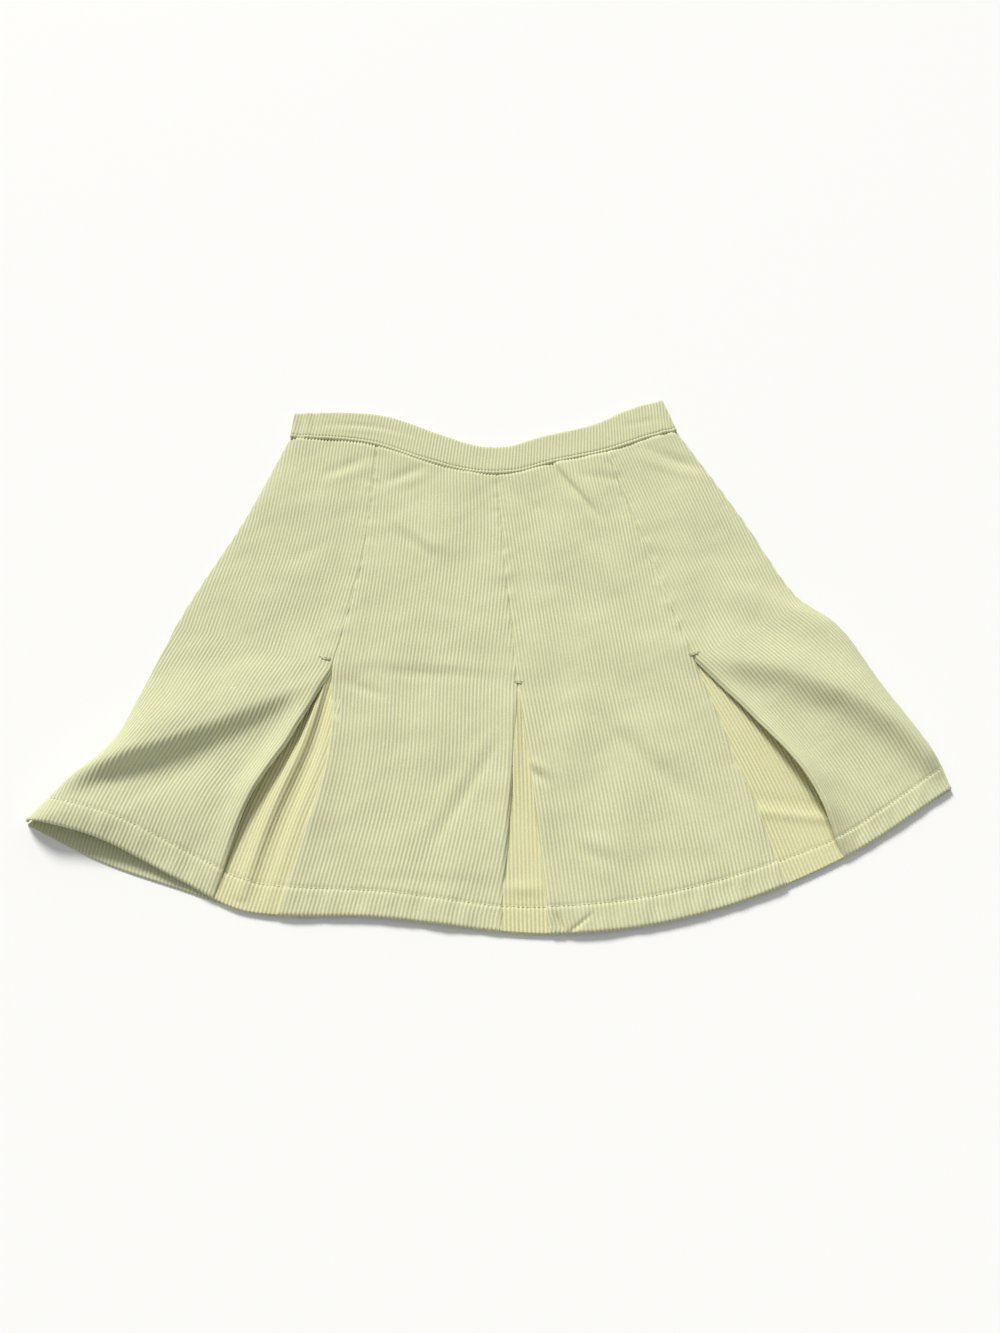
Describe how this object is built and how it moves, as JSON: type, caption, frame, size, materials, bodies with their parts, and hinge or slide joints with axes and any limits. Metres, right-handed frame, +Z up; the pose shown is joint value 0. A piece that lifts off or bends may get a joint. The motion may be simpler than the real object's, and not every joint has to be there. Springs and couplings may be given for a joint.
{
  "type": "gored mini skirt",
  "caption": "Flared corduroy mini skirt with a banded waist and inverted pleats at the front seams, laid flat with its front up.",
  "frame": {"origin": "middle of the laid skirt's box, on the table that it lies on", "axes": "+X runs to the viewer's right along the hem, +Y from the hem to the waist, +Z up out of the front"},
  "size_m": [0.71, 0.4938, 0.0189],
  "materials": {
    "corduroy": "matt pale lemon cotton corduroy, its wales running from waist to hem",
    "corduroy_underlay": "the same corduroy inside the pleats",
    "corduroy_band": "the same corduroy, its wales across the band",
    "thread": "matching polyester sewing thread"
  },
  "bodies": {
    "root": {"back_panel": "corduroy", "pleat_underlay_left": "corduroy_underlay", "pleat_underlay_centre": "corduroy_underlay", "pleat_underlay_right": "corduroy_underlay", "front_side_left": "corduroy", "front_centre_left": "corduroy", "front_centre_right": "corduroy", "front_side_right": "corduroy", "waistband_back": "corduroy_band", "waistband_front": "corduroy_band"}
  },
  "joints": []
}
